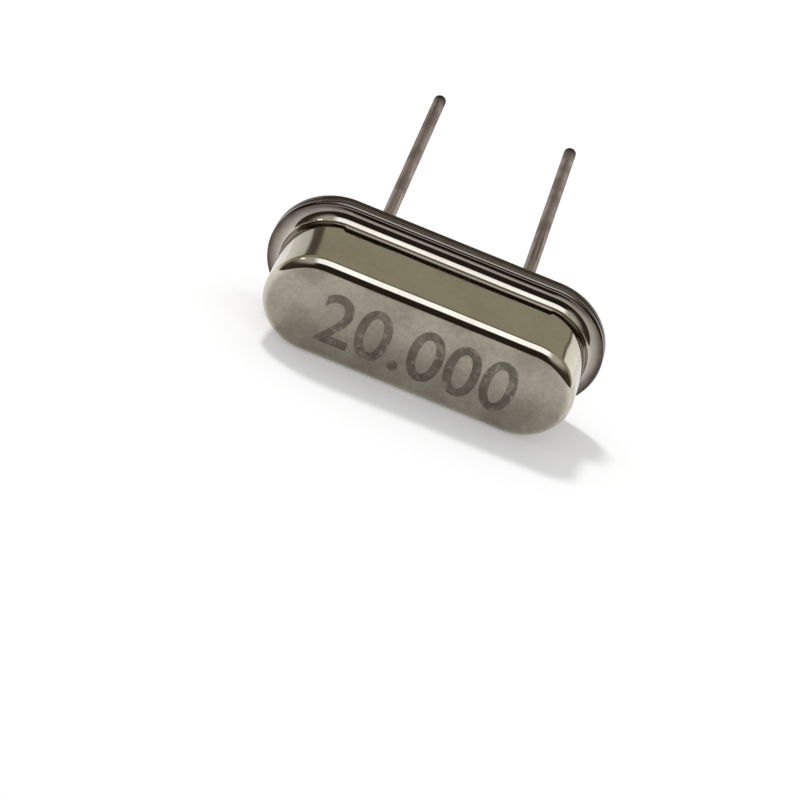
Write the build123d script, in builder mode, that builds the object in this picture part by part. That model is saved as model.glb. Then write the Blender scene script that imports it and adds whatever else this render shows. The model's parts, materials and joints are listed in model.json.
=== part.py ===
from build123d import *
import os
from math import asin, atan2, cos, hypot, sin, sqrt

# A low-profile quartz crystal unit: a drawn metal can welded to a flanged base,
# with two round leads in glass seals. Inside, two folded clips on the lead heads
# hold a thin strip of quartz. The unit lies on one long side. Sizes in millimetres.

# Drawn can
can_length = 10.05
can_width = 3.30
overall_height = 3.50
sheet = 0.25
top_radius = 0.42
root_radius = 0.15
rim_width = 0.50
rim_radius = 0.10
seam_chamfer = 0.06

# Base
base_flange = 0.30
platform_rise = 0.55
platform_gap = 0.10
platform_chamfer = 0.10
recess_border = 0.35
recess_depth = 0.30
recess_chamfer = 0.08

# Leads and their glass seals
lead_pitch = 4.88
lead_diameter = 0.43
lead_length = 12.70
tip_chamfer = 0.08
tin_coat = 0.015
bare_length = 0.10
coat_fade = 0.65
seal_diameter = 1.40
seal_dish = 0.06
head_diameter = 0.80
head_thickness = 0.12
head_chamfer = 0.03
head_gap = 0.15

# Quartz strip
strip_end_gap = 0.80
strip_side_gap = 0.50
strip_thickness = 0.10
strip_corner = 0.15
bond_film = 0.04

# Folded clips
clip_thickness = 0.10
clip_width = 1.30
fold_radius = 0.10
foot_inner_reach = 0.42
riser_reach = 0.62
shelf_rise = 0.75
stop_gap = 0.22
lip_rise = 0.30
waist_radius = 0.28
key_hole = 0.50
key_inset = 0.50

# Electrode films
film = 0.02
electrode_length = 4.20
electrode_side_gap = 0.20
tab_width = 0.60
tab_setback = 0.10

# Conductive adhesive
adhesive_grip = 0.55
adhesive_width = 0.95
adhesive_cover = 0.14
adhesive_chamfer = 0.08

# Sizes that follow from those above
flange_length = can_length + 2 * rim_width
flange_width = can_width + 2 * rim_width
inner_length = can_length - 2 * sheet
inner_width = can_width - 2 * sheet
cover_height = overall_height - base_flange
platform_top = base_flange + platform_rise
wire_diameter = lead_diameter - 2 * tin_coat
head_base = platform_top + head_gap
head_top = head_base + head_thickness
shelf_top = head_top + clip_thickness + shelf_rise
strip_base = shelf_top + bond_film
strip_top = strip_base + strip_thickness
strip_length = inner_length - 2 * strip_end_gap
strip_width = inner_width - 2 * strip_side_gap
electrode_width = strip_width - 2 * electrode_side_gap
lip_face = strip_length / 2 + stop_gap
bend_flat = (root_radius + sheet) * (2 - sqrt(2))

# Resting pose: the flange rim and the lower top edge of the can touch the surface.
# Each is a round edge, seen here in the cross-section as a circle at a height
# above the base and a distance out from the middle.
rim_height = base_flange + sheet - rim_radius
rim_out = flange_width / 2 - rim_radius
brow_height = overall_height - top_radius
brow_out = can_width / 2 - top_radius
rise = rim_out - brow_out
run = brow_height - rim_height
tilt = atan2(rise, run) - asin((top_radius - rim_radius) / hypot(rise, run))

# The seat is the plane that the base rests on when fitted to a board. Its Z runs
# from the base to the flat top of the can, and its X along the can.
front_reach = brow_out * sin(tilt) + brow_height * cos(tilt) + top_radius
tip_out = lead_diameter / 2 - tip_chamfer
back_reach = tip_out * sin(tilt) + lead_length * cos(tilt)
seat_y = (front_reach - back_reach) / 2
seat_z = rim_out * cos(tilt) + rim_height * sin(tilt) + rim_radius
seat = Plane(origin=(0, seat_y, seat_z), x_dir=(1, 0, 0), z_dir=(0, -cos(tilt), -sin(tilt)))
up = Axis(seat.origin, seat.z_dir)

# The section plane cuts the unit along its length: X along the can, Y up from the seat.
section = Plane(origin=seat.origin, x_dir=seat.x_dir, z_dir=-seat.y_dir)

sides = {"left": -1, "right": 1}
lead_axes = {
    name: Axis(section.from_local_coords((side * lead_pitch / 2, 0, 0)), seat.z_dir)
    for name, side in sides.items()
}
os.makedirs("parts", exist_ok=True)


def level_faces(piece):
    """The flat faces that are parallel to the seat, lowest first."""
    return piece.faces().filter_by(up).sort_by(up)


# Cover: the drawn can with its welding flange
with BuildPart() as cover:
    with BuildSketch(seat.offset(base_flange)):
        SlotOverall(flange_length, flange_width)
    extrude(amount=sheet)
    with BuildSketch(seat.offset(base_flange)):
        SlotOverall(can_length, can_width)
    extrude(amount=cover_height)
    fillet(level_faces(cover)[-1].edges(), top_radius)
    fillet(level_faces(cover)[1].inner_wires().edges(), root_radius)
    with BuildSketch(seat.offset(base_flange)):
        SlotOverall(inner_length, inner_width)
    extrude(amount=cover_height - sheet, mode=Mode.SUBTRACT)
    chamfer(level_faces(cover)[2].edges(), top_radius - sheet)
    chamfer(level_faces(cover)[0].inner_wires().edges(), bend_flat)
    chamfer(level_faces(cover)[0].outer_wire().edges(), seam_chamfer)
    fillet(level_faces(cover)[1].outer_wire().edges(), rim_radius)
cover.part.label = "cover"
export_step(cover.part, "parts/cover.step")

# Base plate: flange, raised platform inside the can, and a recess underneath
with BuildPart() as base_plate:
    with BuildSketch(seat):
        SlotOverall(flange_length, flange_width)
    extrude(amount=base_flange)
    chamfer(level_faces(base_plate).edges(), seam_chamfer)
    with BuildSketch(seat.offset(base_flange)):
        SlotOverall(inner_length - 2 * platform_gap, inner_width - 2 * platform_gap)
    extrude(amount=platform_rise)
    chamfer(level_faces(base_plate)[-1].edges(), platform_chamfer)
    with BuildSketch(seat):
        inset = platform_gap + recess_border
        SlotOverall(inner_length - 2 * inset, inner_width - 2 * inset)
    extrude(amount=recess_depth, mode=Mode.SUBTRACT)
    chamfer(level_faces(base_plate)[1].edges(), recess_chamfer)
    with BuildSketch(seat):
        with GridLocations(lead_pitch, 0, 2, 1):
            Circle(seal_diameter / 2)
    extrude(amount=platform_top, mode=Mode.SUBTRACT)
base_plate.part.label = "base_plate"
export_step(base_plate.part, "parts/base_plate.step")

# Glass seals: beads fused into the base round each lead, dished where they show
for name, side in sides.items():
    with BuildPart() as glass_seal:
        with BuildSketch(section):
            with BuildLine():
                lead_edge = side * (lead_pitch + wire_diameter) / 2
                hole_edge = side * (lead_pitch + seal_diameter) / 2
                middle = (lead_edge + hole_edge) / 2
                bottom = ThreePointArc(
                    (lead_edge, recess_depth), (middle, recess_depth + seal_dish), (hole_edge, recess_depth)
                )
                Polyline(bottom @ 1, (hole_edge, platform_top), (lead_edge, platform_top), bottom @ 0)
            make_face()
        revolve(axis=lead_axes[name])
    glass_seal.part.label = f"glass_seal_{name}"
    export_step(glass_seal.part, f"parts/glass_seal_{name}.step")

# Leads: bare wire through the glass, with a flat nail head inside. Outside, a coat of
# tin fades in just below the base and runs down to the tip
for name, side in sides.items():
    with BuildPart() as lead:
        with BuildSketch(section):
            with BuildLine():
                lead_axis = side * lead_pitch / 2
                Polyline(
                    (lead_axis, -lead_length),
                    (lead_axis + side * lead_diameter / 2, -lead_length),
                    (lead_axis + side * lead_diameter / 2, -bare_length - coat_fade),
                    (lead_axis + side * wire_diameter / 2, -bare_length),
                    (lead_axis + side * wire_diameter / 2, head_base),
                    (lead_axis + side * head_diameter / 2, head_base),
                    (lead_axis + side * head_diameter / 2, head_top),
                    (lead_axis, head_top),
                    close=True,
                )
            make_face()
        revolve(axis=lead_axes[name])
        chamfer(level_faces(lead)[0].edges(), tip_chamfer)
        chamfer(level_faces(lead)[-1].edges(), head_chamfer)
    lead.part.label = f"lead_{name}"
    export_step(lead.part, f"parts/lead_{name}.step")

# Quartz strip: lies level across the two clips, with small rounded corners
with BuildPart() as quartz_strip:
    with BuildSketch(seat.offset(strip_base)):
        RectangleRounded(strip_length, strip_width, strip_corner)
    extrude(amount=strip_thickness)
quartz_strip.part.label = "quartz_strip"
export_step(quartz_strip.part, "parts/quartz_strip.step")

# Electrodes: a film on each face, with a tab that runs out to one end of the strip
electrodes = {}
for name, base, side in (("top", strip_top, -1), ("bottom", strip_base - film, 1)):
    with BuildPart() as electrode:
        with BuildSketch(seat.offset(base)):
            Rectangle(electrode_length, electrode_width)
            tab_reach = strip_length / 2 - tab_setback
            with Locations((side * tab_reach / 2, 0)):
                Rectangle(tab_reach, tab_width)
        extrude(amount=film)
    electrode.part.label = f"electrode_{name}"
    export_step(electrode.part, f"parts/electrode_{name}.step")
    electrodes[name] = electrode.part

# Clips: a sheet strip folded into a foot on the lead head, a riser, a shelf
# under the end of the quartz, and a lip that stops it
clips = {}
for name, side in sides.items():
    with BuildPart() as clip:
        with BuildSketch(section):
            with BuildLine():
                foot_end = side * (lead_pitch / 2 - foot_inner_reach)
                riser = side * (lead_pitch / 2 + riser_reach)
                lip = side * (lip_face + clip_thickness / 2)
                foot_level = head_top + clip_thickness / 2
                shelf_level = shelf_top - clip_thickness / 2
                FilletPolyline(
                    (foot_end, foot_level),
                    (riser, foot_level),
                    (riser, shelf_level),
                    (lip, shelf_level),
                    (lip, shelf_level + lip_rise),
                    radius=fold_radius + clip_thickness / 2,
                )
            trace(line_width=clip_thickness)
        extrude(amount=clip_width / 2, both=True)
        with BuildSketch(seat.offset(head_top)):
            with Locations((riser, clip_width / 2), (riser, -clip_width / 2)):
                Circle(waist_radius)
            with Locations((side * (strip_length / 2 - key_inset), 0)):
                Circle(key_hole / 2)
        extrude(amount=shelf_top + lip_rise, mode=Mode.SUBTRACT)
    clip.part.label = f"clip_{name}"
    export_step(clip.part, f"parts/clip_{name}.step")
    clips[name] = clip.part

# Conductive adhesive: a rounded dot over each end of the strip, down to the clip
for name, side in sides.items():
    with BuildPart() as adhesive:
        with BuildSketch(seat.offset(shelf_top)):
            inner_end = strip_length / 2 - adhesive_grip
            with Locations((side * (inner_end + lip_face) / 2, 0)):
                RectangleRounded(lip_face - inner_end, adhesive_width, adhesive_chamfer)
        extrude(amount=bond_film + strip_thickness + adhesive_cover)
        chamfer(level_faces(adhesive)[-1].edges(), adhesive_chamfer)
        add(quartz_strip.part, mode=Mode.SUBTRACT)
        add(electrodes["top"], mode=Mode.SUBTRACT)
        add(electrodes["bottom"], mode=Mode.SUBTRACT)
        add(clips[name], mode=Mode.SUBTRACT)
    adhesive.part.label = f"adhesive_{name}"
    export_step(adhesive.part, f"parts/adhesive_{name}.step")
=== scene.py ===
import json
import math

import bmesh
import bpy
from bpy.props import FloatProperty, FloatVectorProperty, IntProperty, PointerProperty, StringProperty
from mathutils import Matrix, Vector


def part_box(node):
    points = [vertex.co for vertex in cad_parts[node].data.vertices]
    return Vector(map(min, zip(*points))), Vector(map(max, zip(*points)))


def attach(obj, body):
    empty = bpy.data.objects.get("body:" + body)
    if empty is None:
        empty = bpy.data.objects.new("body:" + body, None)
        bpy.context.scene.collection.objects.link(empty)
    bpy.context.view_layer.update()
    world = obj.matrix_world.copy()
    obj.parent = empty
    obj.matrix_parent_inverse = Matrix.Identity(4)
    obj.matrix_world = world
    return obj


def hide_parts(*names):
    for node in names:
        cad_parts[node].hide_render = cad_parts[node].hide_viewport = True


bl_info = {
    "name": "Quartz crystal unit",
    "version": (1, 0, 0),
    "blender": (4, 5, 0),
    "location": "3D View > Sidebar > Crystal",
    "description": "Dresses a low metal-can quartz crystal: can, base, seals, leads, digits and studio",
    "category": "Object",
}

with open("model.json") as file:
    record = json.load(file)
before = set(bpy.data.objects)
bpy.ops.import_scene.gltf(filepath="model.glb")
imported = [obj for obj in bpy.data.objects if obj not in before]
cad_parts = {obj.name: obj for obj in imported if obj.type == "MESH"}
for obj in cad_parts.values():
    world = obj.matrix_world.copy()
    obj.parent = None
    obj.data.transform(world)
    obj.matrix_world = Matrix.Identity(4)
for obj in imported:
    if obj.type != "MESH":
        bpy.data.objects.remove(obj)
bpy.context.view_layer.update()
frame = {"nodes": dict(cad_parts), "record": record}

MM = 0.001
NEAR = 0.002 * MM
SHARP_ANGLE = math.radians(35.0)
SIDES = {"left": -1, "right": 1}
mounts = {mount["name"]: mount for mount in frame["record"]["mounts"]}


def unit_matrix():
    """Takes the unit's own upright frame to where it lies in the row frame.

    The upright frame has X along the can, Y across it, Z from the base to the flat
    top, and its origin on the seat, midway between the leads.
    """
    up = -Vector(mounts["seat"]["axis"]).normalized()
    left = Vector(mounts["lead_left"]["pos_m"])
    right = Vector(mounts["lead_right"]["pos_m"])
    along = (right - left).normalized()
    middle = (left + right) / 2
    rise = (Vector(mounts["seat"]["pos_m"]) - middle).dot(up)
    matrix = Matrix((along, up.cross(along), up)).transposed().to_4x4()
    matrix.translation = middle + up * rise
    return matrix


TO_ROW = unit_matrix()
TO_UNIT = TO_ROW.inverted()
cover_low, cover_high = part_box("cover")
flange_length = cover_high.x - cover_low.x
lead_pitch = (Vector(mounts["lead_right"]["pos_m"]) - Vector(mounts["lead_left"]["pos_m"])).length
lead_radius = mounts["lead_left"]["dims"]["r_mm"] * MM


def length(name, description, default):
    """A size in metres that the sidebar shows as a distance."""
    return FloatProperty(name=name, description=description, default=default, unit="LENGTH", precision=5)


def colour(name, description, default):
    """A base colour that the sidebar shows as a swatch."""
    return FloatVectorProperty(
        name=name, description=description, default=default, subtype="COLOR", size=3, min=0.0, max=1.0
    )


class CanSizes(bpy.types.PropertyGroup):
    """Sizes of the drawn can and of the base that it is welded to."""

    rim: length("Rim", "How far the flange stands out from the wall", 0.50 * MM)
    width: length("Width", "Width of the can from wall to wall", 3.30 * MM)
    height: length("Height", "Height from the seat to the flat top", 3.50 * MM)
    sheet: length("Sheet", "Thickness of the drawn sheet", 0.25 * MM)
    top_radius: length("Top radius", "Outer radius of the top edge", 0.42 * MM)
    root_radius: length("Root radius", "Radius between the wall and the flange", 0.36 * MM)
    rim_radius: length("Rim radius", "Radius of the flange's upper edge", 0.10 * MM)
    seam: length("Seam", "Round at each side of the welded seam", 0.06 * MM)
    base: length("Base", "Thickness of the base's flange", 0.30 * MM)
    platform: length("Platform", "Rise of the platform inside the can", 0.55 * MM)
    gap: length("Platform gap", "Gap between the platform and the wall", 0.10 * MM)
    border: length("Recess border", "Platform wall round the recess", 0.35 * MM)
    recess: length("Recess", "Depth of the recess under the base", 0.30 * MM)
    edge: length("Base edge", "Round at the edges of the platform and recess", 0.08 * MM)
    border_flat: length("Flat border", "Border inside each flat that keeps its shading flat", 0.05 * MM)
    facets: IntProperty(name="Facets", description="Facets round each end of the can", default=56, min=8)


class LeadSizes(bpy.types.PropertyGroup):
    """Sizes of the leads and of their glass seals."""

    reach: length("Reach", "Lead length below the seat", 12.70 * MM)
    coat: length("Coat", "Thickness of the tin coat", 0.015 * MM)
    bare: length("Bare length", "Bare wire just below the seat", 0.10 * MM)
    fade: length("Coat fade", "Length over which the coat thins out", 0.65 * MM)
    tip: length("Tip round", "Round at the cut tip", 0.10 * MM)
    head_gap: length("Head gap", "Gap between the platform and the nail head", 0.15 * MM)
    head_radius: length("Head radius", "Radius of the nail head", 0.40 * MM)
    head: length("Head", "Thickness of the nail head", 0.12 * MM)
    seal_radius: length("Seal radius", "Radius of the glass seal", 0.70 * MM)
    dish: length("Dish", "Depth of the dished glass", 0.06 * MM)
    facets: IntProperty(name="Facets", description="Facets round each lead", default=40, min=8)


class MarkSettings(bpy.types.PropertyGroup):
    """The plain digits on the flat top."""

    digits: StringProperty(name="Digits", description="Plain numbers on the flat top", default="20.000")
    height: length("Height", "Height of a digit", 1.82 * MM)
    row: length("Row length", "Length of the row of digits", 6.35 * MM)
    slide: length("Slide", "Shift of the row along the can", 0.08 * MM)
    shift: length("Shift", "Shift of the row across the can", -0.06 * MM)
    skin: length("Skin", "Thickness of the dark skin, a quarter of it above the metal", 0.002 * MM)
    weight: FloatProperty(name="Weight", description="Extra stroke weight of the digits", default=0.012)


class FinishColours(bpy.types.PropertyGroup):
    """Base colours of the finishes."""

    can: colour("Can", "Nickel of the drawn can", (0.58, 0.54, 0.46))
    can_dull: colour("Can dull", "Duller patches of the can", (0.46, 0.42, 0.35))
    # The flat top's colours are darker than the can's, partly for its finish from rubbing and partly as
    # painted shade that stands for the shaded floor the flat top mirrors.
    top: colour("Top", "Rubbed nickel of the flat top", (0.375, 0.342, 0.282))
    top_dull: colour("Top dull", "Duller patches of the flat top", (0.245, 0.218, 0.175))
    # Painted dark reflection: the flange and the wall's root take this darker colour to stand for dark
    # surroundings that they mirror.
    flange: colour("Flange", "Pressed nickel of the flange", (0.27, 0.235, 0.21))
    base: colour("Base", "Nickel of the base", (0.48, 0.44, 0.38))
    base_dull: colour("Base dull", "Dull grain of the base", (0.36, 0.32, 0.27))
    # On the can this colour is also laid on more heavily round the rim's two ends as a painted dark
    # reflection.
    weld: colour("Weld", "Heat tint along the welded seam", (0.075, 0.056, 0.046))
    tin: colour("Tin", "Tin coat of the leads", (0.55, 0.48, 0.46))
    tin_dull: colour("Tin dull", "Dull patches and draw lines of the leads", (0.13, 0.105, 0.10))
    tin_edge: colour("Tin edge", "What the tin shows at a grazing view", (0.42, 0.37, 0.36))
    cut: colour("Cut", "Dark cut tips of the leads", (0.02, 0.017, 0.016))
    mark: colour("Mark", "Etched digits", (0.19, 0.17, 0.137))
    mark_dull: colour("Mark dull", "Darker grain of the digits", (0.115, 0.102, 0.08))
    glass: colour("Glass", "Sealing glass", (0.012, 0.018, 0.018))
    glass_dull: colour("Glass dull", "Cloudy streaks in the glass", (0.030, 0.040, 0.037))
    clip: colour("Clip", "Nickel silver of the clips", (0.62, 0.57, 0.47))
    clip_dull: colour("Clip dull", "Tarnish on the clips", (0.46, 0.40, 0.31))
    silver: colour("Silver", "Electrode film", (0.83, 0.82, 0.79))
    silver_dull: colour("Silver dull", "Tarnish on the electrode film", (0.66, 0.63, 0.57))
    paste: colour("Paste", "Silver adhesive", (0.40, 0.40, 0.39))
    paste_dull: colour("Paste dull", "Binder between the flakes", (0.22, 0.22, 0.21))
    quartz: colour("Quartz", "Polished quartz", (0.96, 0.97, 0.97))
    quartz_dull: colour("Quartz dull", "Lapped quartz surface", (0.86, 0.88, 0.88))


class StudioSettings(bpy.types.PropertyGroup):
    """The camera, the floor, the surroundings and the lamp."""

    azimuth: FloatProperty(
        name="Azimuth", description="Camera bearing", default=math.radians(-0.365), subtype="ANGLE"
    )
    elevation: FloatProperty(
        name="Elevation", description="Camera height angle", default=math.radians(21.70), subtype="ANGLE"
    )
    roll: FloatProperty(name="Roll", description="Camera roll", default=math.radians(22.20), subtype="ANGLE")
    distance: length("Distance", "From the camera to its aim", 93.79 * MM)
    aim: FloatVectorProperty(
        name="Aim",
        description="Point the camera looks at",
        default=(0.12 * MM, -5.62 * MM, -1.0 * MM),
        unit="LENGTH",
    )
    lens: FloatProperty(name="Lens", description="Focal length in millimetres", default=135.0)
    floor: colour("Floor", "Pale paper floor", (0.86, 0.86, 0.86))
    floor_reach: length("Floor reach", "From the middle of the floor to its edge", 1.5)
    lift: FloatProperty(name="Lift", description="Light added to the floor where it is seen", default=0.22)
    ambient: FloatProperty(name="Ambient", description="Even light from all round", default=0.60)
    key: FloatProperty(name="Key", description="Power of the soft lamp in watts", default=0.45)
    key_width: length("Key width", "Width of the soft lamp", 0.055)
    key_place: FloatVectorProperty(
        name="Key place", description="Where the soft lamp hangs", default=(-0.12, 0.12, 0.28), unit="LENGTH"
    )
    bulb: FloatVectorProperty(
        name="Bulb",
        description="Way towards a small bright bulb that only shiny faces show",
        default=(-0.73, 0.15, 0.67),
        subtype="DIRECTION",
    )


def can_sizes():
    return bpy.context.scene.crystal_can


def lead_sizes():
    return bpy.context.scene.crystal_leads


def finishes():
    return bpy.context.scene.crystal_finishes


# Shader building


def node(tree, kind, sockets=(), **settings):
    """Adds a node; a socket takes a number, a colour or another node's output."""
    made = tree.nodes.new(kind)
    for name, value in settings.items():
        setattr(made, name, value)
    for name, value in dict(sockets).items():
        if isinstance(value, bpy.types.NodeSocket):
            tree.links.new(value, made.inputs[name])
        else:
            made.inputs[name].default_value = value
    return made


def maths(tree, operation, first, second=0.0):
    """One step of arithmetic."""
    return node(tree, "ShaderNodeMath", {0: first, 1: second}, operation=operation).outputs[0]


def spread(tree, value, low, high, to_low=0.0, to_high=1.0):
    """Maps a range of values to another, smoothly and clamped."""
    sockets = {"Value": value, "From Min": low, "From Max": high, "To Min": to_low, "To Max": to_high}
    return node(tree, "ShaderNodeMapRange", sockets, interpolation_type="SMOOTHSTEP").outputs[0]


def blend_value(tree, mask, first, second):
    """Mixes two numbers by a mask."""
    return node(tree, "ShaderNodeMix", {0: mask, 2: first, 3: second}, data_type="FLOAT").outputs[0]


def blend_colour(tree, mask, first, second):
    """Mixes two colours by a mask."""
    return node(tree, "ShaderNodeMix", {0: mask, 6: first, 7: second}, data_type="RGBA").outputs[2]


def noise(tree, vector, scale, detail=3.0, roughness=0.55):
    """Plain noise, as a value between 0 and 1."""
    sockets = {"Vector": vector, "Scale": scale, "Detail": detail, "Roughness": roughness}
    return node(tree, "ShaderNodeTexNoise", sockets).outputs[0]


def new_group(name, inputs, outputs):
    """An empty shader group with named inputs and outputs."""
    tree = bpy.data.node_groups.new(name, "ShaderNodeTree")
    for label, kind, default in inputs:
        socket = tree.interface.new_socket(name=label, in_out="INPUT", socket_type=kind)
        if default is not None:
            socket.default_value = default
    for label, kind in outputs:
        tree.interface.new_socket(name=label, in_out="OUTPUT", socket_type=kind)
    return tree, tree.nodes.new("NodeGroupInput"), tree.nodes.new("NodeGroupOutput")


def plating_grain_group():
    """Fine mottle and broad patches of a satin plated or coated surface."""
    tree, given, result = new_group(
        "plating_grain",
        [
            ("Vector", "NodeSocketVector", None),
            ("Grain", "NodeSocketFloat", 7000.0),
            ("Patch", "NodeSocketFloat", 900.0),
            ("Patch Share", "NodeSocketFloat", 0.5),
        ],
        [("Mottle", "NodeSocketFloat"), ("Patches", "NodeSocketFloat"), ("Height", "NodeSocketFloat")],
    )
    fine = noise(tree, given.outputs["Vector"], given.outputs["Grain"], 4.0, 0.62)
    broad = noise(tree, given.outputs["Vector"], given.outputs["Patch"], 3.0, 0.5)
    patches = spread(tree, broad, 0.36, 0.66)
    mottle = blend_value(tree, given.outputs["Patch Share"], spread(tree, fine, 0.3, 0.7), patches)
    tree.links.new(mottle, result.inputs["Mottle"])
    tree.links.new(patches, result.inputs["Patches"])
    tree.links.new(fine, result.inputs["Height"])
    return tree


def draw_lines_group():
    """Faint lines that forming leaves along one direction of a metal surface."""
    tree, given, result = new_group(
        "draw_lines",
        [
            ("Vector", "NodeSocketVector", None),
            ("Stretch", "NodeSocketVector", (1.0, 1.0, 0.05)),
            ("Scale", "NodeSocketFloat", 9000.0),
            ("Amount", "NodeSocketFloat", 1.0),
        ],
        [("Lines", "NodeSocketFloat")],
    )
    sockets = {0: given.outputs["Vector"], 1: given.outputs["Stretch"]}
    pulled = node(tree, "ShaderNodeVectorMath", sockets, operation="MULTIPLY").outputs[0]
    lines = spread(tree, noise(tree, pulled, given.outputs["Scale"], 2.0, 0.6), 0.5, 0.72)
    tree.links.new(maths(tree, "MULTIPLY", lines, given.outputs["Amount"]), result.inputs["Lines"])
    return tree


def edge_tint_group():
    """A ragged mask that is full where distance is nought and fades out over a reach."""
    tree, given, result = new_group(
        "edge_tint",
        [
            ("Vector", "NodeSocketVector", None),
            ("Distance", "NodeSocketFloat", 0.0),
            ("Reach", "NodeSocketFloat", 0.3 * MM),
            ("Raggedness", "NodeSocketFloat", 0.5),
            ("Scale", "NodeSocketFloat", 2500.0),
        ],
        [("Tint", "NodeSocketFloat")],
    )
    wander = maths(tree, "SUBTRACT", noise(tree, given.outputs["Vector"], given.outputs["Scale"]), 0.5)
    shift = maths(tree, "MULTIPLY", wander, given.outputs["Raggedness"])
    share = maths(tree, "DIVIDE", given.outputs["Distance"], given.outputs["Reach"])
    tint = spread(tree, maths(tree, "ADD", share, shift), 1.0, 0.0)
    tree.links.new(tint, result.inputs["Tint"])
    return tree


def rim_distance_group():
    """How far a point lies inside the flange's edge, and how far round an end it is."""
    tree, given, result = new_group(
        "rim_distance",
        [
            ("Vector", "NodeSocketVector", None),
            ("Run", "NodeSocketFloat", 3.0 * MM),
            ("Edge", "NodeSocketFloat", 2.0 * MM),
        ],
        [("Distance", "NodeSocketFloat"), ("Ends", "NodeSocketFloat")],
    )
    parts = node(tree, "ShaderNodeSeparateXYZ", {0: given.outputs["Vector"]}).outputs
    beyond = maths(tree, "SUBTRACT", maths(tree, "ABSOLUTE", parts[0]), given.outputs["Run"])
    past = maths(tree, "MAXIMUM", beyond, 0.0)
    flat = node(tree, "ShaderNodeCombineXYZ", {0: past, 1: parts[1]}).outputs[0]
    away = node(tree, "ShaderNodeVectorMath", {0: flat}, operation="LENGTH").outputs["Value"]
    tree.links.new(maths(tree, "SUBTRACT", given.outputs["Edge"], away), result.inputs["Distance"])
    tree.links.new(spread(tree, beyond, 0.0, 1.2 * MM), result.inputs["Ends"])
    return tree


def place_group(tree, group, sockets):
    """Puts a shared group into a material."""
    made = tree.nodes.new("ShaderNodeGroup")
    made.node_tree = group
    for name, value in sockets.items():
        if isinstance(value, bpy.types.NodeSocket):
            tree.links.new(value, made.inputs[name])
        else:
            made.inputs[name].default_value = value
    return made.outputs


def shared(name, build):
    """A shared node group, built the first time that a finish asks for it."""
    return bpy.data.node_groups.get(name) or build()


def plating_grain(tree, unit, grain, patch, share):
    """The shared plating grain, at one finish's own scales."""
    sockets = {"Vector": unit, "Grain": grain, "Patch": patch, "Patch Share": share}
    return place_group(tree, shared("plating_grain", plating_grain_group), sockets)


def draw_lines(tree, unit, pull, scale, amount):
    """The shared forming lines, drawn out along the unit's height by a pull."""
    sockets = {"Vector": unit, "Stretch": (1.0, 1.0, pull), "Scale": scale, "Amount": amount}
    return place_group(tree, shared("draw_lines", draw_lines_group), sockets)["Lines"]


def edge_tint(tree, unit, distance, reach, raggedness=0.5, scale=2500.0):
    """The shared ragged tint, at one finish's own reach."""
    sockets = {"Vector": unit, "Distance": distance, "Reach": reach}
    sockets.update({"Raggedness": raggedness, "Scale": scale})
    return place_group(tree, shared("edge_tint", edge_tint_group), sockets)["Tint"]


def rim_distance(tree, unit):
    """The shared flange distance, with this can's own sizes."""
    sizes = can_sizes()
    sockets = {"Vector": unit, "Run": half_straight(), "Edge": sizes.width / 2 + sizes.rim}
    return place_group(tree, shared("rim_distance", rim_distance_group), sockets)


def start_material(name):
    """An empty material with its shader, output and the unit's own coordinates."""
    material = bpy.data.materials.new(name)
    material.use_nodes = True
    tree = material.node_tree
    tree.nodes.clear()
    shader = tree.nodes.new("ShaderNodeBsdfPrincipled")
    output = tree.nodes.new("ShaderNodeOutputMaterial")
    tree.links.new(shader.outputs[0], output.inputs["Surface"])
    place = tree.nodes.new("ShaderNodeTexCoord").outputs["Object"]
    sockets = {"Vector": place, "Location": TO_UNIT.translation, "Rotation": TO_UNIT.to_euler()}
    unit = node(tree, "ShaderNodeMapping", sockets, vector_type="POINT").outputs[0]
    return material, tree, shader, unit


def solid(value):
    """A colour property as the four numbers that a shader socket takes."""
    return (value[0], value[1], value[2], 1.0)


def bump(tree, shader, height, strength, distance):
    """Feeds a height to the shader's normal."""
    sockets = {"Height": height, "Strength": strength, "Distance": distance}
    made = node(tree, "ShaderNodeBump", sockets)
    tree.links.new(made.outputs[0], shader.inputs["Normal"])
    return made


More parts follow.
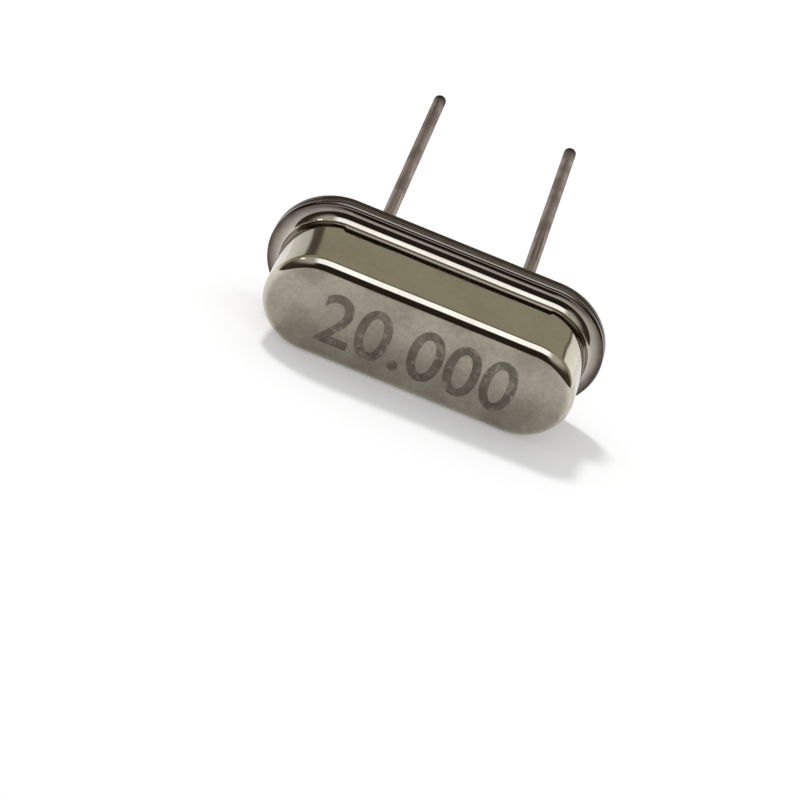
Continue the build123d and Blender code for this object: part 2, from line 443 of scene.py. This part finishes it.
def nickel_can():
    """Satin nickel of the drawn can: a smoother wall; a flat top with a satin finish from rubbing, its
    colour darkened as painted shade; a flange darkened as a painted dark reflection; and a weld rim tinted
    by heat, more darkly round the ends as a painted dark reflection.
    """
    material, tree, shader, unit = start_material("can_nickel")
    tints, sizes = finishes(), can_sizes()
    grain = plating_grain(tree, unit, 6500.0, 560.0, 0.62)
    lines = draw_lines(tree, unit, 0.06, 9000.0, 0.5)
    # The top's colour, from rubbing and from painted shade that darkens it, starts low on the top round, and
    # the rougher skin only at its flat
    height = node(tree, "ShaderNodeSeparateXYZ", {0: unit}).outputs[2]
    flange_top = sizes.base + sizes.sheet
    flat = spread(tree, height, sizes.height - 0.14 * MM, sizes.height - 0.01 * MM)
    matt = spread(tree, height, sizes.height - 0.04 * MM, sizes.height - 0.004 * MM)
    # Painted dark reflection: the wall's root and the flange darken towards the flange's face.
    painted_flange_reflection = spread(tree, height, flange_top + 0.20 * MM, flange_top, 0.0, 0.8)
    mask = maths(tree, "MULTIPLY", grain["Mottle"], blend_value(tree, flat, 0.75, 1.0))
    wall = blend_colour(tree, mask, solid(tints.can), solid(tints.can_dull))
    # Painted shade: the top's colours are darkened to stand for the shaded floor that the flat top mirrors;
    # their mottle is real grain.
    rubbed_and_shaded_top = blend_colour(tree, mask, solid(tints.top), solid(tints.top_dull))
    plain = blend_colour(tree, flat, wall, rubbed_and_shaded_top)
    plain = blend_colour(tree, painted_flange_reflection, plain, solid(tints.flange))
    # The weld's heat tints the rim; round the two ends the tint is made darker still as a painted dark
    # reflection
    rim = rim_distance(tree, unit)
    weld = edge_tint(tree, unit, rim["Distance"], 0.32 * MM, 0.9, 1300.0)
    weld_tint_and_end_reflection = maths(tree, "MULTIPLY", weld, blend_value(tree, rim["Ends"], 0.35, 1.0))
    tinted = blend_colour(tree, weld_tint_and_end_reflection, plain, solid(tints.weld))
    tree.links.new(tinted, shader.inputs["Base Color"])
    shader.inputs["Metallic"].default_value = 1.0
    wall_rough = blend_value(tree, grain["Patches"], 0.05, 0.09)
    wall_rough = maths(tree, "ADD", wall_rough, maths(tree, "MULTIPLY", lines, 0.04))
    top_rough = blend_value(tree, grain["Mottle"], 0.24, 0.34)
    tree.links.new(blend_value(tree, matt, wall_rough, top_rough), shader.inputs["Roughness"])
    # Drawing leaves the sheet gently wavy under its fine grain
    wave = noise(tree, unit, 420.0, 1.0)
    wavy = bump(tree, shader, wave, 1.0, 0.035 * MM)
    fine = bump(tree, shader, grain["Height"], 0.10, 0.004 * MM)
    tree.links.new(wavy.outputs[0], fine.inputs["Normal"])
    return material


def nickel_base():
    """Plated base: a finer grain, with weld tint along the seam."""
    material, tree, shader, unit = start_material("base_nickel")
    tints = finishes()
    grain = plating_grain(tree, unit, 9000.0, 1300.0, 0.5)
    weld = edge_tint(tree, unit, rim_distance(tree, unit)["Distance"], 0.14 * MM)
    plain = blend_colour(tree, grain["Mottle"], solid(tints.base), solid(tints.base_dull))
    tree.links.new(blend_colour(tree, weld, plain, solid(tints.weld)), shader.inputs["Base Color"])
    shader.inputs["Metallic"].default_value = 1.0
    tree.links.new(blend_value(tree, grain["Mottle"], 0.16, 0.30), shader.inputs["Roughness"])
    bump(tree, shader, grain["Height"], 0.12, 0.004 * MM)
    return material


def tinned_wire():
    """Tin over drawn wire: lines along the wire, a dull root and a dark cut tip."""
    material, tree, shader, unit = start_material("lead_tin")
    tints, sizes = finishes(), lead_sizes()
    grain = plating_grain(tree, unit, 5200.0, 1100.0, 0.6)
    lines = draw_lines(tree, unit, 0.025, 11000.0, 0.8)
    height = node(tree, "ShaderNodeSeparateXYZ", {0: unit}).outputs[2]
    tip = edge_tint(tree, unit, maths(tree, "ADD", height, sizes.reach), 0.8 * MM)
    root = edge_tint(tree, unit, maths(tree, "MULTIPLY", height, -1.0), 0.6 * MM)
    mask = maths(tree, "MAXIMUM", root, maths(tree, "MULTIPLY", grain["Patches"], 0.5))
    mask = maths(tree, "MAXIMUM", mask, lines)
    coat = blend_colour(tree, mask, solid(tints.tin), solid(tints.tin_dull))
    tree.links.new(blend_colour(tree, tip, coat, solid(tints.cut)), shader.inputs["Base Color"])
    shader.inputs["Metallic"].default_value = 1.0
    shader.inputs["Specular Tint"].default_value = solid(tints.tin_edge)
    tree.links.new(blend_value(tree, grain["Mottle"], 0.26, 0.42), shader.inputs["Roughness"])
    bump(tree, shader, grain["Height"], 0.25, 0.006 * MM)
    return material


def etched_mark():
    """The dark skin of the digits: rougher than the metal round it, and worn in spots."""
    material, tree, shader, unit = start_material("etched_mark")
    tints = finishes()
    grain = plating_grain(tree, unit, 9000.0, 1500.0, 0.5)
    etched = blend_colour(tree, grain["Mottle"], solid(tints.mark), solid(tints.mark_dull))
    worn = spread(tree, noise(tree, unit, 3600.0, 4.0, 0.6), 0.5, 0.72, 0.0, 0.6)
    tree.links.new(blend_colour(tree, worn, etched, solid(tints.top)), shader.inputs["Base Color"])
    shader.inputs["Metallic"].default_value = 1.0
    tree.links.new(blend_value(tree, grain["Patches"], 0.38, 0.5), shader.inputs["Roughness"])
    bump(tree, shader, grain["Height"], 0.2, 0.004 * MM)
    return material


def sealing_glass():
    """Dark glass fused round the lead, with cloudy streaks and a soft skin."""
    material, tree, shader, unit = start_material("seal_glass")
    tints = finishes()
    grain = plating_grain(tree, unit, 12000.0, 2600.0, 0.8)
    cloudy = blend_colour(tree, grain["Mottle"], solid(tints.glass), solid(tints.glass_dull))
    tree.links.new(cloudy, shader.inputs["Base Color"])
    tree.links.new(blend_value(tree, grain["Patches"], 0.06, 0.16), shader.inputs["Roughness"])
    shader.inputs["IOR"].default_value = 1.52
    bump(tree, shader, grain["Height"], 0.08, 0.004 * MM)
    return material


def inner_metal(name, bright, dull, grain_scale, rough_low, rough_high, strength):
    """A metal finish for the parts inside the sealed can."""
    material, tree, shader, unit = start_material(name)
    grain = plating_grain(tree, unit, grain_scale, grain_scale / 6, 0.45)
    mottled = blend_colour(tree, grain["Mottle"], solid(bright), solid(dull))
    tree.links.new(mottled, shader.inputs["Base Color"])
    shader.inputs["Metallic"].default_value = 1.0
    tree.links.new(blend_value(tree, grain["Mottle"], rough_low, rough_high), shader.inputs["Roughness"])
    bump(tree, shader, grain["Height"], strength, 0.005 * MM)
    return material


def clear_quartz():
    """Lapped and etched quartz: clear, with a fine frosted skin."""
    material, tree, shader, unit = start_material("quartz")
    tints = finishes()
    grain = plating_grain(tree, unit, 14000.0, 1800.0, 0.5)
    frosted = blend_colour(tree, grain["Mottle"], solid(tints.quartz), solid(tints.quartz_dull))
    tree.links.new(frosted, shader.inputs["Base Color"])
    tree.links.new(blend_value(tree, grain["Mottle"], 0.05, 0.22), shader.inputs["Roughness"])
    shader.inputs["IOR"].default_value = 1.544
    shader.inputs["Transmission Weight"].default_value = 1.0
    bump(tree, shader, grain["Height"], 0.05, 0.003 * MM)
    return material


# Mesh building, in the unit's own frame


def add_piece(bm, name, material, nodes):
    """Turns a bmesh into a piece at its place that stands for CAD nodes."""
    bmesh.ops.remove_doubles(bm, verts=bm.verts, dist=0.0001 * MM)
    bmesh.ops.recalc_face_normals(bm, faces=bm.faces)
    bmesh.ops.transform(bm, matrix=TO_ROW, verts=bm.verts)
    mesh = bpy.data.meshes.new(name)
    bm.to_mesh(mesh)
    bm.free()
    mesh.shade_smooth()
    mesh.set_sharp_from_angle(angle=SHARP_ANGLE)
    mesh.materials.append(material)
    piece = bpy.data.objects.new(name, mesh)
    bpy.context.scene.collection.objects.link(piece)
    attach(piece, "root")
    if nodes:
        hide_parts(*nodes)
    return piece


def keep_flats_flat(piece):
    """Lets each large face set the shading at its border, so only the rounds turn light."""
    weighted = piece.modifiers.new("keep_flats_flat", "WEIGHTED_NORMAL")
    weighted.mode = "FACE_AREA"
    weighted.weight = 50
    weighted.keep_sharp = True


def made_verts(geometry):
    return [element for element in geometry if isinstance(element, bmesh.types.BMVert)]


def half_straight():
    """Half the straight run of the can, the same for every outline round its middle."""
    sizes = can_sizes()
    return (flange_length - sizes.width - 2 * sizes.rim) / 2


def half_turn(bm, vert, centre):
    """Sweeps a vertex half way round an upright axis and returns the last vertex."""
    turned = bmesh.ops.spin(
        bm, geom=[vert], cent=centre, axis=(0, 0, 1), angle=math.pi, steps=can_sizes().facets
    )
    return made_verts(turned["geom_last"])[0]


def obround_face(bm, reach, level):
    """A flat face with a half turn of the given radius at each end."""
    run = half_straight()
    first = bmesh.ops.create_vert(bm, co=(run, -reach, level))["vert"][0]
    last = half_turn(bm, first, (run, 0, level))
    second = made_verts(bmesh.ops.extrude_vert_indiv(bm, verts=[last])["verts"])[0]
    bmesh.ops.translate(bm, vec=(-2 * run, 0, 0), verts=[second])
    last = half_turn(bm, second, (-run, 0, level))
    bmesh.ops.contextual_create(bm, geom=[last, first])
    return bmesh.ops.contextual_create(bm, geom=bm.edges[:])["faces"][0]


def raised(bm, face, rise):
    """Extrudes one face along Z and returns the face at its end."""
    joined = any(len(edge.link_faces) > 1 for edge in face.edges)
    made = bmesh.ops.extrude_face_region(bm, geom=[face])["geom"]
    bmesh.ops.translate(bm, vec=(0, 0, rise), verts=made_verts(made))
    if joined:
        bmesh.ops.delete(bm, geom=[face], context="FACES_ONLY")
    return [element for element in made if isinstance(element, bmesh.types.BMFace)][0]


def inset(bm, face, border):
    """Draws a face in evenly; it stays the inner face."""
    bmesh.ops.inset_individual(bm, faces=[face], thickness=border, use_even_offset=True)
    return face


def widest(bm, level):
    """The largest flat face at a level."""
    level_faces = [face for face in bm.faces if all(abs(vert.co.z - level) < NEAR for vert in face.verts)]
    return max(level_faces, key=lambda face: face.calc_area())


def outline(bm, reach, level):
    """The level edges that run round the can at one reach from its spine."""
    run = half_straight()
    found = []
    for edge in bm.edges:
        on_line = True
        for vert in edge.verts:
            away = math.hypot(max(abs(vert.co.x) - run, 0.0), vert.co.y)
            if abs(away - reach) > NEAR or abs(vert.co.z - level) > NEAR:
                on_line = False
        if on_line:
            found.append(edge)
    return found


def ring_edges(verts):
    """The edges of a ring of vertices, each once and in order."""
    return list(dict.fromkeys(edge for vert in verts for edge in vert.link_edges))


def rounded(bm, edges, radius, segments):
    """Rounds a run of edges to a true radius."""
    bmesh.ops.bevel(
        bm,
        geom=edges,
        offset=radius,
        offset_type="OFFSET",
        segments=segments,
        profile=0.5,
        affect="EDGES",
        clamp_overlap=False,
        loop_slide=True,
        material=-1,
    )


def spun(bm, profile, centre, steps):
    """Turns a profile, given as (radius, height) points, once round an upright axis."""
    verts = [bmesh.ops.create_vert(bm, co=(centre + out, 0, level))["vert"][0] for out, level in profile]
    edges = [bm.edges.new(pair) for pair in zip(verts, verts[1:])]
    bmesh.ops.spin(
        bm,
        geom=verts + edges,
        cent=(centre, 0, 0),
        axis=(0, 0, 1),
        angle=2 * math.pi,
        steps=steps,
        use_merge=True,
    )


class CRYSTAL_OT_can(bpy.types.Operator):
    """Make the drawn can with its welding flange"""

    bl_idname = "crystal.can"
    bl_label = "Drawn can"

    def execute(self, context):
        sizes = context.scene.crystal_can
        wall = sizes.width / 2
        flange = wall + sizes.rim
        inner = wall - sizes.sheet
        flange_top = sizes.base + sizes.sheet
        ceiling = sizes.height - sizes.sheet
        bm = bmesh.new()
        mouth = obround_face(bm, flange, sizes.base)
        top = raised(bm, mouth, sizes.sheet)
        raised(bm, inset(bm, top, sizes.rim), sizes.height - flange_top)
        raised(bm, inset(bm, mouth, sizes.rim + sizes.sheet), ceiling - sizes.base)
        rounded(bm, outline(bm, wall, sizes.height), sizes.top_radius, 16)
        rounded(bm, outline(bm, wall, flange_top), sizes.root_radius, 8)
        rounded(bm, outline(bm, flange, flange_top), sizes.rim_radius, 6)
        rounded(bm, outline(bm, flange, sizes.base), sizes.seam, 4)
        rounded(bm, outline(bm, inner, ceiling), sizes.top_radius - sizes.sheet, 4)
        rounded(bm, outline(bm, inner, sizes.base), sizes.root_radius + sizes.sheet, 6)
        inset(bm, widest(bm, sizes.height), sizes.border_flat)
        inset(bm, widest(bm, ceiling), sizes.border_flat)
        piece = add_piece(bm, "can", nickel_can(), ["cover"])
        keep_flats_flat(piece)
        return {"FINISHED"}


class CRYSTAL_OT_base(bpy.types.Operator):
    """Make the base with its platform, recess and seal holes"""

    bl_idname = "crystal.base"
    bl_label = "Base"

    def execute(self, context):
        sizes, leads = context.scene.crystal_can, context.scene.crystal_leads
        flange = sizes.width / 2 + sizes.rim
        platform = sizes.width / 2 - sizes.sheet - sizes.gap
        recess = platform - sizes.border
        platform_top = sizes.base + sizes.platform
        bm = bmesh.new()
        under = obround_face(bm, flange, 0)
        top = raised(bm, under, sizes.base)
        raised(bm, inset(bm, top, flange - platform), sizes.platform)
        raised(bm, inset(bm, under, flange - recess), sizes.recess)
        rounded(bm, outline(bm, flange, 0), sizes.seam, 4)
        rounded(bm, outline(bm, flange, sizes.base), sizes.seam, 4)
        rounded(bm, outline(bm, platform, platform_top), sizes.edge, 4)
        rounded(bm, outline(bm, recess, 0), sizes.edge, 4)
        rounded(bm, outline(bm, recess, sizes.recess), sizes.edge, 4)
        # Both flats are filled again round a ring for each seal, and the rings are joined
        rims = {side: [] for side in SIDES.values()}
        for level in (sizes.recess, platform_top):
            face = widest(bm, level)
            border = list(face.edges)
            bmesh.ops.delete(bm, geom=[face], context="FACES_ONLY")
            for side in SIDES.values():
                place = Matrix.Translation((side * lead_pitch / 2, 0, level))
                ring = bmesh.ops.create_circle(
                    bm, segments=leads.facets, radius=leads.seal_radius, matrix=place
                )["verts"]
                rims[side] += ring_edges(ring)
                border += ring_edges(ring)
            bmesh.ops.triangle_fill(bm, use_beauty=True, edges=border, normal=(0, 0, 1))
        for edges in rims.values():
            bmesh.ops.bridge_loops(bm, edges=edges)
        piece = add_piece(bm, "base", nickel_base(), ["base_plate"])
        keep_flats_flat(piece)
        return {"FINISHED"}


class CRYSTAL_OT_seals(bpy.types.Operator):
    """Make the two glass seals, dished where they show"""

    bl_idname = "crystal.seals"
    bl_label = "Glass seals"

    def execute(self, context):
        sizes, leads = context.scene.crystal_can, context.scene.crystal_leads
        glass = sealing_glass()
        wire = lead_radius - leads.coat
        top = sizes.base + sizes.platform
        steps = 8
        profile = []
        for step in range(steps + 1):
            share = step / steps
            out = leads.seal_radius - (leads.seal_radius - wire) * share
            profile.append((out, sizes.recess + leads.dish * math.sin(math.pi * share)))
        profile += [(wire, top), (leads.seal_radius, top), profile[0]]
        for name, side in SIDES.items():
            bm = bmesh.new()
            spun(bm, profile, side * lead_pitch / 2, leads.facets)
            add_piece(bm, "seal_" + name, glass, ["glass_seal_" + name])
        return {"FINISHED"}


class CRYSTAL_OT_leads(bpy.types.Operator):
    """Make the two leads with their nail heads and rounded tips"""

    bl_idname = "crystal.leads"
    bl_label = "Leads"

    def execute(self, context):
        sizes, leads = context.scene.crystal_can, context.scene.crystal_leads
        tin = tinned_wire()
        wire = lead_radius - leads.coat
        head = sizes.base + sizes.platform + leads.head_gap
        steps = 6
        profile = [(0, -leads.reach)]
        for step in range(steps + 1):
            turn = math.pi / 2 * step / steps
            out = lead_radius - leads.tip + leads.tip * math.sin(turn)
            profile.append((out, -leads.reach + leads.tip - leads.tip * math.cos(turn)))
        profile += [
            (lead_radius, -leads.bare - leads.fade),
            (wire, -leads.bare),
            (wire, head),
            (leads.head_radius, head),
            (leads.head_radius, head + leads.head),
            (0, head + leads.head),
        ]
        for name, side in SIDES.items():
            bm = bmesh.new()
            spun(bm, profile, side * lead_pitch / 2, leads.facets)
            add_piece(bm, "wire_" + name, tin, ["lead_" + name])
        return {"FINISHED"}


class CRYSTAL_OT_digits(bpy.types.Operator):
    """Put the plain digits on the flat top"""

    bl_idname = "crystal.digits"
    bl_label = "Digits"

    def execute(self, context):
        sizes, mark = context.scene.crystal_can, context.scene.crystal_mark
        curve = bpy.data.curves.new("digits", "FONT")
        curve.body = mark.digits
        curve.align_x = "CENTER"
        curve.align_y = "CENTER"
        curve.offset = mark.weight
        curve.extrude = 0.002
        curve.resolution_u = 12
        writing = bpy.data.objects.new("digits_curve", curve)
        context.scene.collection.objects.link(writing)
        context.view_layer.update()
        mesh = bpy.data.meshes.new_from_object(writing.evaluated_get(context.evaluated_depsgraph_get()))
        bpy.data.objects.remove(writing)
        bm = bmesh.new()
        bm.from_mesh(mesh)
        bpy.data.meshes.remove(mesh)
        low = Vector([min(vert.co[axis] for vert in bm.verts) for axis in range(3)])
        high = Vector([max(vert.co[axis] for vert in bm.verts) for axis in range(3)])
        bmesh.ops.translate(bm, vec=-(low + high) / 2, verts=bm.verts)
        wanted = Vector((mark.row, mark.height, mark.skin))
        scale = [wanted[axis] / (high[axis] - low[axis]) for axis in range(3)]
        bmesh.ops.scale(bm, vec=scale, verts=bm.verts)
        # The skin is sunk until only a quarter of its thickness stands above the flat top
        place = (mark.slide, mark.shift, sizes.height - mark.skin / 4)
        bmesh.ops.translate(bm, vec=place, verts=bm.verts)
        add_piece(bm, "digits", etched_mark(), [])
        return {"FINISHED"}


class CRYSTAL_OT_inner(bpy.types.Operator):
    """Finish the quartz, clips, electrodes and adhesive inside the can"""

    bl_idname = "crystal.inner"
    bl_label = "Inner parts"

    def execute(self, context):
        tints = finishes()
        clip = inner_metal("clip_nickel_silver", tints.clip, tints.clip_dull, 9000.0, 0.2, 0.32, 0.1)
        film = inner_metal("electrode_silver", tints.silver, tints.silver_dull, 12000.0, 0.14, 0.26, 0.05)
        paste = inner_metal("silver_adhesive", tints.paste, tints.paste_dull, 16000.0, 0.42, 0.62, 0.5)
        dressed = {
            "quartz_strip": clear_quartz(),
            "clip_left": clip,
            "clip_right": clip,
            "electrode_top": film,
            "electrode_bottom": film,
            "adhesive_left": paste,
            "adhesive_right": paste,
        }
        for name, material in dressed.items():
            for holder in frame["nodes"][name].material_slots:
                holder.material = material
        return {"FINISHED"}


class CRYSTAL_OT_studio(bpy.types.Operator):
    """Set the floor, the surroundings, the lamp and the camera"""

    bl_idname = "crystal.studio"
    bl_label = "Studio"

    def execute(self, context):
        make_floor(context.scene)
        make_surroundings(context.scene)
        make_lamp(context.scene)
        make_camera(context.scene)
        context.scene.view_settings.view_transform = "Standard"
        return {"FINISHED"}


def make_floor(scene):
    """A wide pale floor; camera, glossy and clear rays see it lifted towards white."""
    settings = scene.crystal_studio
    material = bpy.data.materials.new("paper_floor")
    material.use_nodes = True
    tree = material.node_tree
    tree.nodes.clear()
    place = tree.nodes.new("ShaderNodeTexCoord").outputs["Object"]
    fibre = spread(tree, noise(tree, place, 900.0, 4.0), 0.3, 0.7, 0.994, 1.0)
    paper = blend_colour(tree, fibre, (0.0, 0.0, 0.0, 1.0), solid(settings.floor))
    diffuse = node(tree, "ShaderNodeBsdfDiffuse", {"Color": paper}).outputs[0]
    rays = tree.nodes.new("ShaderNodeLightPath").outputs
    seen = maths(tree, "MAXIMUM", rays["Is Camera Ray"], rays["Is Glossy Ray"])
    seen = maths(tree, "MAXIMUM", seen, rays["Is Transmission Ray"])
    sockets = {"Color": (1.0, 1.0, 1.0, 1.0), "Strength": maths(tree, "MULTIPLY", seen, settings.lift)}
    glow = node(tree, "ShaderNodeEmission", sockets).outputs[0]
    total = node(tree, "ShaderNodeAddShader", {0: diffuse, 1: glow}).outputs[0]
    node(tree, "ShaderNodeOutputMaterial", {"Surface": total})
    bm = bmesh.new()
    bmesh.ops.create_grid(bm, x_segments=1, y_segments=1, size=settings.floor_reach)
    mesh = bpy.data.meshes.new("floor")
    bm.to_mesh(mesh)
    bm.free()
    mesh.materials.append(material)
    floor = bpy.data.objects.new("floor", mesh)
    scene.collection.objects.link(floor)


def light_bands(tree, turn, stops):
    """A ramp of light and dark from the front horizon, overhead, to the back one."""
    ramp = node(tree, "ShaderNodeValToRGB", {0: turn})
    elements = ramp.color_ramp.elements
    elements.remove(elements[-1])
    elements[0].position = stops[0][0]
    elements[0].color = solid(stops[0][1])
    for position, tint in stops[1:]:
        elements.new(position).color = solid(tint)
    return ramp.outputs[0]


# The bands that metal mirrors, each a place on the half turn over the top and a colour
STRIP = (1.78, 1.85, 1.98)
ROOM = (0.385, 0.362, 0.275)
FRONT_BANDS = [
    (0.000, (0.60, 0.58, 0.54)),
    (0.020, (0.045, 0.033, 0.026)),
    (0.295, (0.03, 0.022, 0.017)),
    (0.313, STRIP),
    (0.557, STRIP),
    (0.575, (0.11, 0.10, 0.075)),
    (0.625, (0.26, 0.243, 0.185)),
    (0.690, ROOM),
]
LEFT_BANDS = [
    (0.785, ROOM),
    (0.800, (0.10, 0.08, 0.07)),
    (0.845, (0.12, 0.10, 0.08)),
    (0.860, (0.66, 0.68, 0.64)),
    (1.000, (0.90, 0.91, 0.87)),
]
RIGHT_BANDS = [
    (0.828, ROOM),
    (0.838, (0.12, 0.10, 0.07)),
    (0.845, (0.12, 0.10, 0.07)),
    (0.860, (1.05, 1.06, 1.00)),
    (1.000, (1.15, 1.16, 1.10)),
]


def make_surroundings(scene):
    """White to camera and clear rays, even light to matt surfaces, and to glossy ones a
    studio: dark in front, a bright strip overhead, a warm room behind and a small bulb."""
    settings = scene.crystal_studio
    world = bpy.data.worlds.new("studio")
    world.use_nodes = True
    scene.world = world
    tree = world.node_tree
    tree.nodes.clear()
    way = tree.nodes.new("ShaderNodeTexCoord").outputs["Generated"]
    parts = node(tree, "ShaderNodeSeparateXYZ", {0: way}).outputs
    front = maths(tree, "MULTIPLY", parts[1], -1.0)
    angle = maths(tree, "ARCTAN2", parts[2], front)
    turn = maths(tree, "DIVIDE", angle, math.pi)
    left = light_bands(tree, turn, FRONT_BANDS + LEFT_BANDS)
    right = light_bands(tree, turn, FRONT_BANDS + RIGHT_BANDS)
    studio = blend_colour(tree, spread(tree, parts[0], -0.1, 0.1), left, right)
    # Out to each side, but not behind, it is dark low down and lighter high up
    high_up = spread(tree, parts[2], 0.35, 0.75)
    beside = blend_colour(tree, high_up, (0.06, 0.05, 0.04, 1.0), (0.62, 0.60, 0.54, 1.0))
    aside = spread(tree, maths(tree, "ABSOLUTE", parts[0]), 0.32, 0.5)
    not_behind = spread(tree, turn, 0.66, 0.60)
    studio = blend_colour(tree, maths(tree, "MULTIPLY", aside, not_behind), studio, beside)
    # The bulb is a small round spot with a soft edge
    sockets = {0: way, 1: Vector(settings.bulb).normalized()}
    facing = node(tree, "ShaderNodeVectorMath", sockets, operation="DOT_PRODUCT").outputs["Value"]
    edge, core = math.cos(math.radians(4.5)), math.cos(math.radians(2.5))
    studio = blend_colour(tree, spread(tree, facing, edge, core), studio, (4.5, 4.4, 4.2, 1.0))
    rays = tree.nodes.new("ShaderNodeLightPath").outputs
    even = (settings.ambient, settings.ambient, settings.ambient, 1.0)
    shine = blend_colour(tree, rays["Is Glossy Ray"], even, studio)
    seen = maths(tree, "MAXIMUM", rays["Is Camera Ray"], rays["Is Transmission Ray"])
    sky = blend_colour(tree, seen, shine, (1.0, 1.0, 1.0, 1.0))
    background = node(tree, "ShaderNodeBackground", {"Color": sky}).outputs[0]
    node(tree, "ShaderNodeOutputWorld", {"Surface": background})


def make_lamp(scene):
    """One soft lamp above, behind and to the left, which casts the shadow. Metal doesn't
    mirror it: the bulb in the surroundings stands for it there."""
    settings = scene.crystal_studio
    light = bpy.data.lights.new("key", "AREA")
    light.shape = "DISK"
    light.size = settings.key_width
    light.energy = settings.key
    lamp = bpy.data.objects.new("key", light)
    lamp.visible_glossy = False
    scene.collection.objects.link(lamp)
    place = Vector(settings.key_place)
    lamp.matrix_world = Matrix.Translation(place) @ (-place).to_track_quat("-Z", "Y").to_matrix().to_4x4()


def make_camera(scene):
    """The photograph's view, with its tilt of the picture."""
    settings = scene.crystal_studio
    level = math.cos(settings.elevation)
    forward = Vector(
        (
            -math.sin(settings.azimuth) * level,
            math.cos(settings.azimuth) * level,
            -math.sin(settings.elevation),
        )
    )
    data = bpy.data.cameras.new("camera")
    data.lens = settings.lens
    data.sensor_width = 36.0
    data.clip_start = 0.005
    data.clip_end = 10.0
    camera = bpy.data.objects.new("camera", data)
    scene.collection.objects.link(camera)
    turn = forward.to_track_quat("-Z", "Y").to_matrix() @ Matrix.Rotation(settings.roll, 3, "Z")
    camera.matrix_world = (
        Matrix.Translation(Vector(settings.aim) - forward * settings.distance) @ turn.to_4x4()
    )
    scene.camera = camera


class CRYSTAL_PT_panel(bpy.types.Panel):
    """Lists the pieces and their settings in the sidebar"""

    bl_idname = "CRYSTAL_PT_panel"
    bl_label = "Quartz crystal unit"
    bl_space_type = "VIEW_3D"
    bl_region_type = "UI"
    bl_category = "Crystal"

    def draw(self, context):
        for name, group in SETTINGS.items():
            box = self.layout.box()
            box.label(text=group.__doc__)
            for setting in group.__annotations__:
                box.prop(getattr(context.scene, name), setting)
        for operator in OPERATORS:
            self.layout.operator(operator.bl_idname)


SETTINGS = {
    "crystal_can": CanSizes,
    "crystal_leads": LeadSizes,
    "crystal_mark": MarkSettings,
    "crystal_finishes": FinishColours,
    "crystal_studio": StudioSettings,
}
OPERATORS = (
    CRYSTAL_OT_can,
    CRYSTAL_OT_base,
    CRYSTAL_OT_seals,
    CRYSTAL_OT_leads,
    CRYSTAL_OT_digits,
    CRYSTAL_OT_inner,
    CRYSTAL_OT_studio,
)


def register():
    for name, group in SETTINGS.items():
        bpy.utils.register_class(group)
        setattr(bpy.types.Scene, name, PointerProperty(type=group))
    for operator in OPERATORS:
        bpy.utils.register_class(operator)
    bpy.utils.register_class(CRYSTAL_PT_panel)


def unregister():
    bpy.utils.unregister_class(CRYSTAL_PT_panel)
    for operator in reversed(OPERATORS):
        bpy.utils.unregister_class(operator)
    for name, group in SETTINGS.items():
        delattr(bpy.types.Scene, name)
        bpy.utils.unregister_class(group)


def main():
    register()
    bpy.ops.crystal.can()
    bpy.ops.crystal.base()
    bpy.ops.crystal.seals()
    bpy.ops.crystal.leads()
    bpy.ops.crystal.digits()
    bpy.ops.crystal.inner()
    bpy.ops.crystal.studio()


if __name__ == "__main__":
    main()
